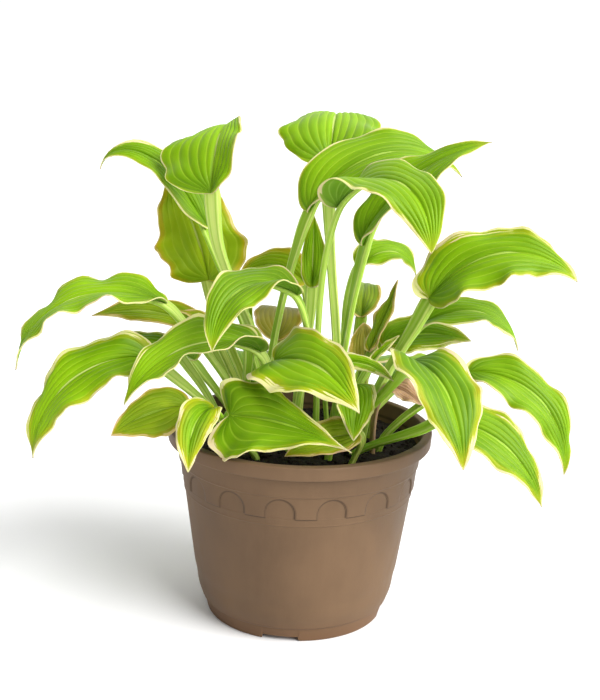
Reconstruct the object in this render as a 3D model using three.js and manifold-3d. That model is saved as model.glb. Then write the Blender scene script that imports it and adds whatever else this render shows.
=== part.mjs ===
// Potted hosta: a plastic nursery pot, its soil, and one closed solid for each leaf with its stalk.
// Millimetres, +Z up. The origin is the centre of the pot's underside, and -Y is the front.
import * as THREE from "three";
import { mergeVertices } from "three/addons/utils/BufferGeometryUtils.js";
import Module from "manifold-3d";

const wasm = await Module();
wasm.setup();

// Driving dimensions of the pot
const potHeight = 145;
const lipRadius = 99;
const lipHeight = 11;
const footRadius = 67;
const footHeight = 11;
const wall = 2;
const floorTop = 7;
const potSides = 30;

// The collar is a raised band whose lower edge is cut into a row of arches
const collarBottom = 103;
const collarTop = 119;
const collarGround = 86.9;
const collarRelief = 0.9;
const collarFlare = 1.5;
const archCount = 15;
const archWidth = 21;
const archHeight = 14.5;
const frontArchAngle = -98;

// Drain notches in the foot, each with a hole up through the floor
const notchCount = 4;
const notchWidth = 27;
const notchHeight = 3.5;
const notchInnerRadius = 43;
const drainRadius = 4.5;
const drainAt = 51;

// The soil, and how the stalks stand in it
const soilTop = 130;
const soilCrown = 4;
const soilLump = 1.6;
const fitGap = 0.3;
const stalkDepth = 9;

// Leaves
const bladeThickness = 0.8;
const stalkHalfSides = 3;
const stalkSteps = 4;
const midribSteps = 40;
const lobeReach = 0.09;

const colours = {
  pot: 0x7d624a,
  soil: 0x17110f,
  leaf: 0x86b81c,
  olive: 0x9aa02c,
  dried: 0xb08a70,
};

// Each leaf: foot is where its stalk leaves the soil, base is where stalk and blade meet.
// From the base the midrib sets off at heading (0 right, 90 back, 180 left, -90 front) and climb
// degrees above level, and over its length it bends to fall degrees below level and turns by swing.
// late above 1 keeps the bend for the tip end. width is left and right of the midrib, seen from the
// base, and the next pairs are given in that order too. lobe is how far each side's lobe reaches back,
// fold how many degrees the side stands up at the base, and curl how many its edge turns up. taper
// makes base and tip slender, roll turns the blade about the midrib, and cup hollows it. wave is the
// height of the edge waves and scallop their share of the width.
const usual = {
  swing: 0, late: 1, lobe: [0.3, 0.3], fold: [25, 25], curl: [0, 0], taper: 0.6, widestAt: 0.36,
  roll: 0, cup: 0.15, wave: 3, waves: 2.5, scallop: 0.03, stalk: 2.6, kind: "leaf",
};

const leaves = {
  top_left_fan: {
    foot: [-15, 10], base: [-70, 5, 315], heading: 85, swing: -10, climb: 78, fall: 30, late: 1.4,
    length: 88, width: [43, 20], lobe: [0.2, 0], fold: [10, 25], taper: 0.5, roll: -20, wave: 3, stalk: 3.2,
  },
  top_left_curled: {
    foot: [-25, 22], base: [-75, 40, 285], heading: 170, climb: 55, fall: 80, late: 3, length: 116,
    width: [16, 16], roll: -30, cup: 0.2, wave: 2, waves: 2, stalk: 2.8, small: true,
  },
  left_tall: {
    foot: [-35, 35], base: [-75, 60, 240], heading: 180, climb: 78, fall: -60, length: 88,
    width: [32, 34], lobe: [0.2, 0.7], fold: [0, 15], taper: 0.5, roll: -80, cup: 0.2, wave: 4, waves: 3,
    scallop: 0.08, stalk: 2.8, kind: "olive",
  },
  back_small: {
    foot: [-5, 30], base: [0, 60, 240], heading: 165, climb: 50, fall: 50, length: 62,
    width: [16, 16], roll: -50, wave: 1.5, waves: 2, stalk: 2.2, kind: "olive", small: true,
  },
  centre_arch: {
    foot: [-5, -17], base: [-5, -30, 250], heading: 195, swing: 55, climb: 35, fall: 90, late: 1.1,
    length: 100, width: [22, 20], fold: [70, 20], taper: 0.65, roll: -20, stalk: 2.8,
  },
  centre_upright: {
    foot: [-2, 0], base: [5, 0, 250], heading: 90, climb: 85, fall: -80, length: 52,
    width: [9, 10], cup: 0.3, wave: 1, waves: 1.5, stalk: 2.2, small: true,
  },
  top_centre: {
    foot: [30, 22], base: [15, 35, 335], heading: 85, climb: 65, fall: 40, late: 1.1, length: 100,
    width: [39, 37], curl: [-35, -15], taper: 0.5, roll: 3, cup: 0.12, scallop: 0.05, stalk: 3,
  },
  top_long: {
    foot: [-28, 2], base: [0, 0, 305], heading: 5, swing: 15, climb: 60, fall: 45, late: 1.2,
    length: 138, width: [24, 19], lobe: [0.2, 0.2], fold: [40, 40], roll: 35, stalk: 2.8,
  },
  top_right: {
    foot: [26, 4], base: [40, -20, 285], heading: -5, swing: 15, climb: 75, fall: -10, late: 0.9,
    length: 122, width: [19, 22], lobe: [0.1, 0.1], fold: [50, 50], taper: 0.7, roll: 30, cup: 0.2,
    stalk: 3.2,
  },
  top_drooping: {
    foot: [12, 6], base: [20, -45, 315], heading: -25, swing: -45, climb: 60, fall: 85, length: 118,
    width: [24, 30], fold: [15, 70], taper: 0.55, roll: 20, cup: 0.12, stalk: 2.8,
  },
  right_behind: {
    foot: [35, 33], base: [40, 35, 260], heading: 15, climb: 45, fall: 85, late: 1.3, length: 60,
    width: [14, 12], roll: 35, wave: 2.5, waves: 2, stalk: 2.2, small: true,
  },
  right_high: {
    foot: [45, 0], base: [90, -5, 245], heading: -5, climb: 55, fall: 50, late: 1.3, length: 125,
    width: [26, 30], lobe: [0.5, 0.3], fold: [35, 20], taper: 0.55, roll: 40, cup: 0.12, wave: 4, waves: 3,
    scallop: 0.05, stalk: 3.6,
  },
  right_middle: {
    foot: [52, 14], base: [85, 15, 220], heading: 5, climb: 30, fall: 80, late: 1.5, length: 95,
    width: [17, 17], roll: 25, wave: 2.5, small: true,
  },
  right_inner: {
    foot: [42, 26], base: [60, 35, 200], heading: 5, climb: 25, fall: 20, length: 72,
    width: [17, 17], roll: 45, wave: 2, small: true,
  },
  right_hanging: {
    foot: [57, -10], base: [120, -20, 195], heading: -10, swing: -20, climb: 10, fall: 95,
    length: 118, width: [18, 22], taper: 0.65, roll: 35, wave: 3.5, waves: 3, scallop: 0.06, stalk: 2.8,
  },
  front_right: {
    foot: [34, -10], base: [75, -40, 205], heading: -65, climb: 25, fall: 85, late: 0.9, length: 112,
    width: [27, 28], fold: [25, 40], taper: 0.55, cup: 0.12, stalk: 3,
  },
  right_low: {
    foot: [34, -28], base: [100, -55, 170], heading: -15, climb: 0, fall: 75, length: 100,
    width: [20, 22], taper: 0.65, roll: 35, cup: 0.12, wave: 2.5,
  },
  front_heart: {
    foot: [-6, -32], base: [-20, -45, 205], heading: -45, climb: 25, fall: 50, length: 92,
    width: [27, 34], lobe: [1, 0.8], fold: [10, 25], taper: 0.52, widestAt: 0.3, roll: 35, cup: 0.1,
    scallop: 0.05, stalk: 2.8,
  },
  front_low: {
    foot: [-28, -42], base: [-50, -65, 170], heading: -30, swing: 15, climb: 10, fall: 25,
    length: 95, width: [27, 32], lobe: [1, 1], fold: [15, 10], taper: 0.55, widestAt: 0.22, roll: 55,
    cup: 0.1, wave: 4, waves: 3, scallop: 0.06, stalk: 2.8,
  },
  front_folded: {
    foot: [-44, -30], base: [-60, -65, 175], heading: 235, swing: 40, climb: 10, fall: 85, length: 62,
    width: [13, 14], roll: -20, cup: 0.3, wave: 2, waves: 2, stalk: 2.4, small: true,
  },
  left_front_arch: {
    foot: [-18, -18], base: [-30, -20, 205], heading: 200, swing: 5, climb: 30, fall: 65, length: 120,
    width: [25, 22], fold: [60, 15], curl: [50, 0], roll: -35, cup: 0.12, wave: 3.5, waves: 3, stalk: 2.8,
  },
  left_low: {
    foot: [-55, -16], base: [-80, -45, 170], heading: 195, climb: 0, fall: 40, length: 60,
    width: [21, 16], roll: -50, wave: 1.5, waves: 2, stalk: 2.4, kind: "olive", small: true,
  },
  left_long: {
    foot: [-50, -2], base: [-110, -10, 195], heading: 195, climb: 10, fall: 90, length: 130,
    width: [25, 22], roll: -35, wave: 4, waves: 3, scallop: 0.05, stalk: 3,
  },
  left_shaded: {
    foot: [-57, 10], base: [-95, 25, 190], heading: 180, climb: 20, fall: 55, length: 75,
    width: [16, 16], roll: -30, wave: 2, waves: 2, stalk: 2.4, small: true,
  },
  left_high: {
    foot: [-38, 4], base: [-100, -5, 235], heading: 185, climb: 20, fall: 85, late: 1.3, length: 142,
    width: [23, 22], lobe: [0, 0.1], roll: -15, cup: 0.12, wave: 4, waves: 3.5, scallop: 0.06, stalk: 3,
  },
  left_behind: {
    foot: [-46, 24], base: [-80, 30, 210], heading: 175, climb: 25, fall: 20, length: 85,
    width: [13, 14], roll: -35, wave: 1.5, waves: 2, stalk: 2.4, kind: "olive", small: true,
  },
  left_narrow: {
    foot: [-32, -8], base: [-65, 10, 210], heading: 175, climb: 55, fall: 0, length: 35,
    width: [7, 7], roll: -20, cup: 0.3, wave: 1, waves: 1.5, stalk: 2, kind: "olive", small: true,
  },
  front_in_pot: {
    foot: [36, -46], base: [42, -54, 156], heading: 200, climb: 5, fall: 30, length: 58,
    width: [14, 14], roll: -45, wave: 1, waves: 2, stalk: 2.4, kind: "olive", small: true,
  },
  front_under: {
    foot: [20, -38], base: [40, -45, 190], heading: -95, climb: -15, fall: 70, length: 48,
    width: [14, 14], wave: 2, waves: 2, stalk: 2.4, small: true,
  },
  front_little: {
    foot: [22, -18], base: [25, -25, 200], heading: -15, climb: 15, fall: 40, length: 45,
    width: [8, 8], roll: 30, cup: 0.25, wave: 1, waves: 1.5, stalk: 2, small: true,
  },
  dried: {
    foot: [54, -22], base: [65, -10, 180], heading: -20, climb: -10, fall: 40, length: 28,
    width: [9, 8], roll: 40, cup: 0.3, wave: 2, waves: 2, stalk: 1.8, kind: "dried", small: true,
  },
  back_right_olive: {
    foot: [24, 40], base: [45, 60, 215], heading: 85, climb: 50, fall: 20, length: 62,
    width: [14, 14], wave: 1.5, waves: 2, stalk: 2.2, kind: "olive", small: true,
  },
  right_curled: {
    foot: [34, 12], base: [50, 10, 200], heading: 30, climb: 60, fall: -75, length: 58,
    width: [10, 9], cup: 0.4, wave: 1.5, waves: 2, stalk: 2.2, kind: "olive", small: true,
  },
  back_brown: {
    foot: [44, 10], base: [47, 20, 182], heading: 90, climb: 80, fall: -10, length: 46,
    width: [12, 11], cup: 0.2, wave: 1, waves: 1.5, stalk: 2, kind: "olive", small: true,
  },
  back_left_olive: {
    foot: [-20, 38], base: [-20, 35, 200], heading: 90, climb: 50, fall: 30, length: 65,
    width: [19, 19], wave: 1.5, waves: 2, stalk: 2.4, kind: "olive", small: true,
  },
  right_narrow: {
    foot: [22, -6], base: [50, -5, 195], heading: 10, climb: 50, fall: -40, length: 30,
    width: [5, 5], roll: 20, cup: 0.3, wave: 0.5, waves: 1, stalk: 2, small: true,
  },
  young_shoot: {
    foot: [-44, 14], base: [-40, 10, 210], heading: 120, climb: 85, fall: -80, length: 35,
    width: [4, 4], cup: 0.5, wave: 0, waves: 1, stalk: 2.4, small: true,
  },
  rear_left: {
    foot: [-30, 50], base: [-40, 55, 155], heading: 100, climb: 55, fall: 90, late: 1.3, length: 85,
    width: [24, 24], cup: 0.12, small: true,
  },
  rear_middle: {
    foot: [-4, 52], base: [0, 70, 180], heading: 90, climb: 20, fall: 75, length: 90,
    width: [24, 24], cup: 0.12, small: true,
  },
  rear_right: {
    foot: [24, 52], base: [50, 75, 170], heading: 65, climb: 20, fall: 75, length: 85,
    width: [20, 20], cup: 0.12, small: true,
  },
  rear_far_right: {
    foot: [48, 40], base: [85, 55, 175], heading: 40, climb: 15, fall: 65, length: 85,
    width: [18, 19], cup: 0.12, wave: 2, small: true,
  },
  rear_far_left: {
    foot: [-48, 38], base: [-85, 60, 175], heading: 145, climb: 15, fall: 65, length: 85,
    width: [19, 19], cup: 0.12, wave: 2, small: true,
  },
};

// A closed mesh as a solid that can be joined or cut. Only the shared positions are kept.
function solidOf(geometry) {
  const bare = geometry.clone();
  bare.deleteAttribute("normal");
  bare.deleteAttribute("uv");
  const merged = mergeVertices(bare, 1e-4);
  const vertProperties = new Float32Array(merged.attributes.position.array);
  const triVerts = new Uint32Array(merged.index.array);
  return new wasm.Manifold(new wasm.Mesh({ numProp: 3, vertProperties, triVerts }));
}

function meshOf(name, solid, colour, roughness) {
  const { vertProperties, triVerts } = solid.getMesh();
  const geometry = new THREE.BufferGeometry();
  geometry.setAttribute("position", new THREE.BufferAttribute(vertProperties, 3));
  geometry.setIndex(new THREE.BufferAttribute(triVerts, 1));
  geometry.computeVertexNormals();
  const material = new THREE.MeshStandardMaterial({ color: colour, roughness, metalness: 0 });
  const mesh = new THREE.Mesh(geometry, material);
  mesh.name = name;
  return mesh;
}

// Turns a closed profile of [radius, height] points about the pot's axis
function turned(profile, sides) {
  const points = profile.map(([radius, height]) => new THREE.Vector2(radius, height));
  return new THREE.LatheGeometry(points, sides).rotateX(Math.PI / 2);
}

// Outside of the wall above the foot ring: the heel, the small step over it, and the fine line
// that runs round under the collar
const wallOutside = [
  [71, footHeight + 0.5], [74.5, 21], [76, 34], [77.2, 36], [83, 78], [85.6, 96.5], [86.2, 97.5],
];

// The inside of the wall follows the outside, a wall's thickness in, with a margin for anything in it
function wallInside(margin) {
  const inset = wall + margin;
  return [
    [92.5 - margin, potHeight], [collarGround - inset, collarBottom], [77.2 - inset, 36],
    [71 - inset, footHeight + 2], [footRadius - inset, floorTop + margin], [0, floorTop + margin],
  ];
}

function potSolid() {
  const lipBottom = potHeight - lipHeight;
  const outside = [
    [0, 0], [footRadius - 1, 0], [footRadius, 1.5], [69.5, footHeight - 0.5], ...wallOutside,
    [collarGround, collarBottom - 0.5], [collarGround + collarRelief, collarBottom],
    [collarGround + collarRelief + collarFlare, collarTop], [90.2, collarTop + 1.5],
    [92.3, lipBottom], [lipRadius - 1.5, lipBottom + 0.5], [lipRadius, lipBottom + 2.5],
    [lipRadius, potHeight - 1.5], [lipRadius - 1.5, potHeight],
  ];
  let pot = solidOf(turned([...outside, ...wallInside(0)], potSides));
  for (let i = 0; i < archCount; i++) {
    pot = pot.subtract(archCutter(frontArchAngle + (i * 360) / archCount));
  }
  for (let i = 0; i < notchCount; i++) {
    const turn = THREE.MathUtils.degToRad(frontArchAngle + (i * 360) / notchCount);
    const length = lipRadius - notchInnerRadius;
    const notch = new THREE.BoxGeometry(length, notchWidth, 2 * notchHeight);
    notch.translate(notchInnerRadius + length / 2, 0, 0).rotateZ(turn);
    const drain = new THREE.CylinderGeometry(drainRadius, drainRadius, 3 * floorTop, 10);
    drain.rotateX(Math.PI / 2).translate(drainAt, 0, floorTop).rotateZ(turn);
    pot = pot.subtract(solidOf(notch)).subtract(solidOf(drain));
  }
  return pot;
}

// An arch-shaped block bent round the pot, which cuts the collar back to the plain wall
function archCutter(angle) {
  const half = archWidth / 2;
  const below = 3;
  const shape = new THREE.Shape();
  shape.moveTo(-half, -below);
  shape.lineTo(half, -below);
  shape.lineTo(half, archHeight - half);
  shape.absarc(0, archHeight - half, half, 0, Math.PI, false);
  const block = new THREE.ExtrudeGeometry(shape, { depth: 6, bevelEnabled: false, curveSegments: 3 });
  const at = block.attributes.position;
  for (let i = 0; i < at.count; i++) {
    const up = at.getY(i);
    const radius = collarGround + (collarFlare * up) / (collarTop - collarBottom) + at.getZ(i);
    const turn = THREE.MathUtils.degToRad(angle) + at.getX(i) / collarGround;
    at.setXYZ(i, radius * Math.cos(turn), radius * Math.sin(turn), collarBottom + up);
  }
  return solidOf(block);
}

// The soil fills the pot, with a low lumpy top and a plain hole for each stalk
function soilSolid(holes) {
  const sunk = wallInside(fitGap).slice(1).reverse();
  const [upper, lower] = wallInside(fitGap);
  const share = (soilTop - lower[1]) / (upper[1] - lower[1]);
  const radius = lower[0] + share * (upper[0] - lower[0]) - fitGap;
  const rings = [1, 0.75, 0.5, 0.25, 0].map((part) => [radius * part, soilTop]);
  const body = turned([...sunk, ...rings], potSides);
  const at = body.attributes.position;
  for (let i = 0; i < at.count; i++) {
    if (at.getZ(i) < soilTop - 0.01) continue;
    const [x, y] = [at.getX(i), at.getY(i)];
    const inward = 1 - Math.hypot(x, y) / radius;
    const lumps = Math.sin(x / 11 + 1) * Math.cos(y / 9) + Math.sin((x - y) / 17);
    at.setZ(i, soilTop + soilLump * lumps * Math.min(1, 4 * inward) + soilCrown * inward);
  }
  return holes.reduce((soil, hole) => soil.subtract(hole), solidOf(body));
}

// Direction of the midrib at t from 0 to 1, the upper side's direction there, and the left side's
function frameAt(leaf, t) {
  const turn = THREE.MathUtils.degToRad(leaf.heading + leaf.swing * t);
  const bend = Math.pow(t, leaf.late);
  const slope = THREE.MathUtils.degToRad(leaf.climb - (leaf.climb + leaf.fall) * bend);
  const [c, s] = [Math.cos(slope), Math.sin(slope)];
  const along = new THREE.Vector3(c * Math.cos(turn), c * Math.sin(turn), s);
  const upper = new THREE.Vector3(-s * Math.cos(turn), -s * Math.sin(turn), c);
  upper.applyAxisAngle(along, THREE.MathUtils.degToRad(leaf.roll));
  const left = new THREE.Vector3().crossVectors(upper, along);
  return { along, upper, left };
}

// Points along the midrib, a step apart, from base to tip
function midribOf(leaf) {
  const points = [new THREE.Vector3(...leaf.base)];
  for (let i = 0; i < midribSteps; i++) {
    const { along } = frameAt(leaf, (i + 0.5) / midribSteps);
    points.push(points[i].clone().addScaledVector(along, leaf.length / midribSteps));
  }
  return points;
}

function midribPoint(midrib, t) {
  const place = Math.min(t, 1) * midribSteps;
  const i = Math.min(Math.floor(place), midribSteps - 1);
  return midrib[i].clone().lerp(midrib[i + 1], place - i);
}

// Half-width of the blade as a share of its widest, from 0 at the base to 0 at the pointed tip
function outline(leaf, u) {
  const fall = (leaf.taper * (1 - leaf.widestAt)) / leaf.widestAt;
  return Math.pow(u / leaf.widestAt, leaf.taper) * Math.pow((1 - u) / (1 - leaf.widestAt), fall);
}

// A point of the blade's middle surface: u runs from base to tip, v from the left edge to the right.
// The side parts set back behind the base are the lobes of the heart shape. Across, each side is an
// arc that leaves the midrib at the angle start and bends by bend on its way to the edge.
function bladePoint(leaf, midrib, phase, u, v) {
  const side = Math.abs(v);
  const hand = v < 0 ? 0 : 1;
  const back = 8 * lobeReach * leaf.lobe[hand] * Math.pow(side, 1.6) * Math.sqrt(u) * Math.pow(1 - u, 3);
  const t = u - back;
  const { along, upper, left } = frameAt(leaf, Math.max(0, t));
  const place = midribPoint(midrib, Math.max(0, t));
  place.addScaledVector(along, Math.min(0, t) * leaf.length);
  const broad = outline(leaf, u);
  const turn = 2 * Math.PI * leaf.waves * u + phase + 2.1 * hand;
  const half = leaf.width[hand] * broad * (1 + leaf.scallop * Math.cos(turn) * side);
  const start = THREE.MathUtils.degToRad(90 * leaf.cup + leaf.fold[hand] * Math.pow(1 - u, 3));
  const bend = THREE.MathUtils.degToRad(leaf.curl[hand] - 150 * leaf.cup);
  const slope = start + bend * side;
  const ripple = leaf.wave * Math.sin(turn) * side * side * Math.sqrt(broad);
  const out = (half * (Math.sin(slope) - Math.sin(start))) / bend - ripple * Math.sin(slope);
  const lift = (half * (Math.cos(start) - Math.cos(slope))) / bend + ripple * Math.cos(slope);
  return place.addScaledVector(left, hand === 0 ? out : -out).addScaledVector(upper, lift);
}

// Both faces of the blade are the same grid, half a thickness to each side, closed along the edge
function bladeSolid(leaf, midrib, phase) {
  const long = leaf.small ? 7 : 9;
  const wide = leaf.small ? 4 : 6;
  const point = (u, v) => bladePoint(leaf, midrib, phase, u, v);
  const faces = [[], []];
  for (let i = 0; i <= long; i++) {
    for (let j = 0; j <= wide; j++) {
      const u = Math.pow(i / long, 1.35);
      const v = (2 * j) / wide - 1;
      const middle = point(u, v);
      const normal = surfaceNormal(point, u, v);
      faces[0].push(middle.clone().addScaledVector(normal, bladeThickness / 2));
      faces[1].push(middle.clone().addScaledVector(normal, -bladeThickness / 2));
    }
  }
  const positions = [...faces[0], ...faces[1]].flatMap((p) => [p.x, p.y, p.z]);
  const row = wide + 1;
  const under = faces[0].length;
  const index = [];
  for (let i = 0; i < long; i++) {
    for (let j = 0; j < wide; j++) {
      const [a, b, c, d] = [i * row + j, i * row + j + 1, (i + 1) * row + j + 1, (i + 1) * row + j];
      index.push(a, b, c, a, c, d);
      index.push(under + a, under + c, under + b, under + a, under + d, under + c);
    }
    const [left, nextLeft] = [i * row, (i + 1) * row];
    const [right, nextRight] = [left + wide, nextLeft + wide];
    index.push(left, nextLeft, under + nextLeft, left, under + nextLeft, under + left);
    index.push(right, under + right, under + nextRight, right, under + nextRight, nextRight);
  }
  const geometry = new THREE.BufferGeometry();
  geometry.setAttribute("position", new THREE.Float32BufferAttribute(positions, 3));
  geometry.setIndex(index);
  return withoutSlivers(geometry);
}

// At the base and the tip a whole row is one point, so its normal is taken a little further in
function surfaceNormal(point, u, v) {
  const inner = 0.01;
  const step = 0.008;
  const atEnd = u < inner || u > 1 - inner;
  const inU = THREE.MathUtils.clamp(u, inner, 1 - inner);
  const inV = atEnd ? 0 : v;
  const forward = point(inU + step, inV).sub(point(inU - step, inV));
  const across = point(inU, inV + step).sub(point(inU, inV - step));
  return new THREE.Vector3().crossVectors(across, forward).normalize();
}

// Drops the triangles that the single points at base and tip leave without area
function withoutSlivers(geometry) {
  const merged = mergeVertices(geometry, 1e-3);
  const old = merged.index.array;
  const kept = [];
  for (let i = 0; i < old.length; i += 3) {
    const [a, b, c] = [old[i], old[i + 1], old[i + 2]];
    if (a !== b && b !== c && a !== c) kept.push(a, b, c);
  }
  merged.setIndex(kept);
  return solidOf(merged);
}

// The stalk rises straight out of the soil, bends over to the base and runs on a little way under
// the blade, so that the two are one body. low moves its foot end down along itself.
function stalkPath(leaf, midrib, low = 0) {
  const base = new THREE.Vector3(...leaf.base);
  const foot = new THREE.Vector3(leaf.foot[0], leaf.foot[1], soilTop - stalkDepth);
  const above = foot.clone().setZ(foot.z + 0.4 * (base.z - foot.z));
  const start = frameAt(leaf, 0);
  const arrive = start.along.clone().add(new THREE.Vector3(0, 0, 0.9)).normalize();
  const before = base.clone().addScaledVector(arrive, -0.3 * base.distanceTo(foot));
  const points = new THREE.CubicBezierCurve3(foot, above, before, base).getPoints(stalkSteps + 1);
  points.pop();
  points[0].z -= low;
  const underBlade = [0, 0.13].map((t) =>
    midribPoint(midrib, t).addScaledVector(frameAt(leaf, t).upper, -0.55 * leaf.stalk));
  return new THREE.CatmullRomCurve3([...points, ...underBlade], false, "centripetal");
}

function tube(curve, radius) {
  const section = new THREE.Shape().absarc(0, 0, radius, 0, 2 * Math.PI, false);
  const steps = stalkSteps + 2;
  const options = { steps, bevelEnabled: false, extrudePath: curve, curveSegments: stalkHalfSides };
  return solidOf(new THREE.ExtrudeGeometry(section, options));
}

const group = new THREE.Group();
const holes = [];
const leafMeshes = [];
Object.entries(leaves).forEach(([name, own], number) => {
  const leaf = { ...usual, ...own };
  const midrib = midribOf(leaf);
  const blade = bladeSolid(leaf, midrib, number * 2.4);
  const solid = blade.add(tube(stalkPath(leaf, midrib), leaf.stalk));
  leafMeshes.push(meshOf(`leaf_${name}`, solid, colours[leaf.kind], 0.45));
  holes.push(tube(stalkPath(leaf, midrib, fitGap), leaf.stalk + fitGap));
});

group.add(meshOf("pot", potSolid(), colours.pot, 0.6));
group.add(meshOf("soil", soilSolid(holes), colours.soil, 0.95));
for (const mesh of leafMeshes) group.add(mesh);

export default group;
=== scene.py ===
import math
import random

import bmesh
import bpy
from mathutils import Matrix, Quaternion, Vector, noise


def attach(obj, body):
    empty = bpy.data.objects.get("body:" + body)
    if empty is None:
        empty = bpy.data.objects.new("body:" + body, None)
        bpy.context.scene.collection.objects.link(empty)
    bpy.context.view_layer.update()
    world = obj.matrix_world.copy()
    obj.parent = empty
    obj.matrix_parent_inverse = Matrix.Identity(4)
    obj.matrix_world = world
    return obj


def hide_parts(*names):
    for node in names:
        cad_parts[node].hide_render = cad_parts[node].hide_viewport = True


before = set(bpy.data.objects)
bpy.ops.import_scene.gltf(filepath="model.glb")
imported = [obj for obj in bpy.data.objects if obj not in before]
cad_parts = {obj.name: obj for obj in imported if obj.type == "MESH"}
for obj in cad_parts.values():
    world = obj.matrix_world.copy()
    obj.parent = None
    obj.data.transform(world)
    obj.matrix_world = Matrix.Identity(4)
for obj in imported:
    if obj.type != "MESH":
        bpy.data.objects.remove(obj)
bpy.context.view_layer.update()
print("frame loaded,", len(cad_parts), "nodes")

mm = 0.001
scene = bpy.context.scene


# Camera, floor and light

cameraSettings = {
    "aim": (-2, 0, 202),      # the point at the middle of the picture, mm
    "elevation": 14.5,        # degrees above level
    "distance": 950,          # mm from the aim
    "roll": 2,                # degrees, the right side of the picture lower
    "pictureSpan": 518,       # mm that the picture's long side covers at the aim
    "sensor": 36,             # mm
    "nearest": 10,            # mm, where the view starts
}


def addCamera(settings):
    aim = Vector(settings["aim"]) * mm
    tilt = math.radians(settings["elevation"])
    away = Vector((0, -math.cos(tilt), math.sin(tilt))) * settings["distance"] * mm
    camera = bpy.data.cameras.new("camera")
    camera.sensor_width = settings["sensor"]
    camera.lens = settings["sensor"] * settings["distance"] / settings["pictureSpan"]
    camera.clip_start = settings["nearest"] * mm
    cameraObject = bpy.data.objects.new("camera", camera)
    scene.collection.objects.link(cameraObject)
    turn = (-away).to_track_quat("-Z", "Y") @ Quaternion((0, 0, 1), math.radians(settings["roll"]))
    cameraObject.rotation_mode = "QUATERNION"
    cameraObject.rotation_quaternion = turn
    cameraObject.location = aim + away
    scene.camera = cameraObject


studioSettings = {
    "backStrength": 1.05,     # the white backdrop
    "frontStrength": 0.28,    # the dimmer side of the room that the object faces
    "rightLean": 0.6,         # how far the lighter part of the room reaches to the right
    "turnsOver": (-0.8, 0.2), # from front to back, where the dim side gives way to the backdrop
    "keyStrength": 4.8,
    "keyFrom": (1.1, -0.8, 1.05),
    "keySpread": 50,          # degrees across, as wide as a near softbox
    "floorWhite": 0.92,
    "floorRough": 0.9,
    "floorSize": 12,          # m from the middle to each side
}


def addKeyLight(settings):
    light = bpy.data.lights.new("keyLight", "SUN")
    light.energy = settings["keyStrength"]
    light.angle = math.radians(settings["keySpread"])
    lightObject = bpy.data.objects.new("keyLight", light)
    lightObject.rotation_mode = "QUATERNION"
    lightObject.rotation_quaternion = (-Vector(settings["keyFrom"])).to_track_quat("-Z", "Y")
    scene.collection.objects.link(lightObject)


def addStudio(settings):
    world = bpy.data.worlds.new("studio")
    world.use_nodes = True
    tree = world.node_tree
    direction = addNode(tree, "ShaderNodeTexCoord").outputs["Generated"]
    parts = addNode(tree, "ShaderNodeSeparateXYZ", {0: direction}).outputs
    towardsBack = plus(tree, parts["Y"], times(tree, parts["X"], settings["rightLean"]))
    low, high = settings["turnsOver"]
    strength = ease(tree, towardsBack, low, high, settings["frontStrength"], settings["backStrength"])
    background = tree.nodes["Background"]
    background.inputs["Color"].default_value = (1, 1, 1, 1)
    tree.links.new(strength, background.inputs["Strength"])
    scene.world = world
    scene.view_settings.view_transform = "Standard"
    addKeyLight(settings)

    floorMesh = bpy.data.meshes.new("floor")
    floorShape = bmesh.new()
    bmesh.ops.create_grid(floorShape, x_segments=1, y_segments=1, size=settings["floorSize"])
    floorShape.to_mesh(floorMesh)
    floorShape.free()
    floor = bpy.data.objects.new("floor", floorMesh)
    scene.collection.objects.link(floor)
    floorMaterial = bpy.data.materials.new("paleFloor")
    floorMaterial.use_nodes = True
    shader = floorMaterial.node_tree.nodes["Principled BSDF"]
    shader.inputs["Base Color"].default_value = (*[settings["floorWhite"]] * 3, 1)
    shader.inputs["Roughness"].default_value = settings["floorRough"]
    floorMesh.materials.append(floorMaterial)


# Node helpers

def addNode(tree, kind, feeds=None, **settings):
    node = tree.nodes.new(kind)
    for name, value in settings.items():
        setattr(node, name, value)
    for name, value in (feeds or {}).items():
        socket = node.inputs[name]
        if isinstance(value, bpy.types.NodeSocket):
            tree.links.new(value, socket)
        else:
            socket.default_value = value
    return node


def maths(tree, operation, first, second=0.0):
    return addNode(tree, "ShaderNodeMath", {0: first, 1: second}, operation=operation).outputs[0]


def plus(tree, first, second):
    return maths(tree, "ADD", first, second)


def times(tree, first, second):
    return maths(tree, "MULTIPLY", first, second)


def ease(tree, value, low, high, atLow=0.0, atHigh=1.0):
    feeds = {"Value": value, "From Min": low, "From Max": high, "To Min": atLow, "To Max": atHigh}
    return addNode(tree, "ShaderNodeMapRange", feeds, interpolation_type="SMOOTHSTEP").outputs[0]


def blendColour(tree, share, first, second):
    node = addNode(tree, "ShaderNodeMix", {0: share, 6: first, 7: second}, data_type="RGBA")
    return node.outputs[2]


def joinXyz(tree, x, y, z):
    return addNode(tree, "ShaderNodeCombineXYZ", {"X": x, "Y": y, "Z": z}).outputs[0]


def noiseOf(tree, vector, scale, detail, roughness=0.5):
    feeds = {"Vector": vector, "Scale": scale, "Detail": detail, "Roughness": roughness}
    return addNode(tree, "ShaderNodeTexNoise", feeds).outputs["Fac"]


def attributeOf(tree, name):
    return addNode(tree, "ShaderNodeAttribute", attribute_name=name).outputs["Fac"]


def newGroup(name, inputs, outputs):
    group = bpy.data.node_groups.new(name, "ShaderNodeTree")
    for socketName, kind, value in inputs:
        socket = group.interface.new_socket(socketName, in_out="INPUT", socket_type=kind)
        socket.default_value = value
    for socketName, kind in outputs:
        group.interface.new_socket(socketName, in_out="OUTPUT", socket_type=kind)
    return group, group.nodes.new("NodeGroupInput"), group.nodes.new("NodeGroupOutput")


def newMaterial(name):
    material = bpy.data.materials.new(name)
    material.use_nodes = True
    return material, material.node_tree, material.node_tree.nodes["Principled BSDF"]


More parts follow.
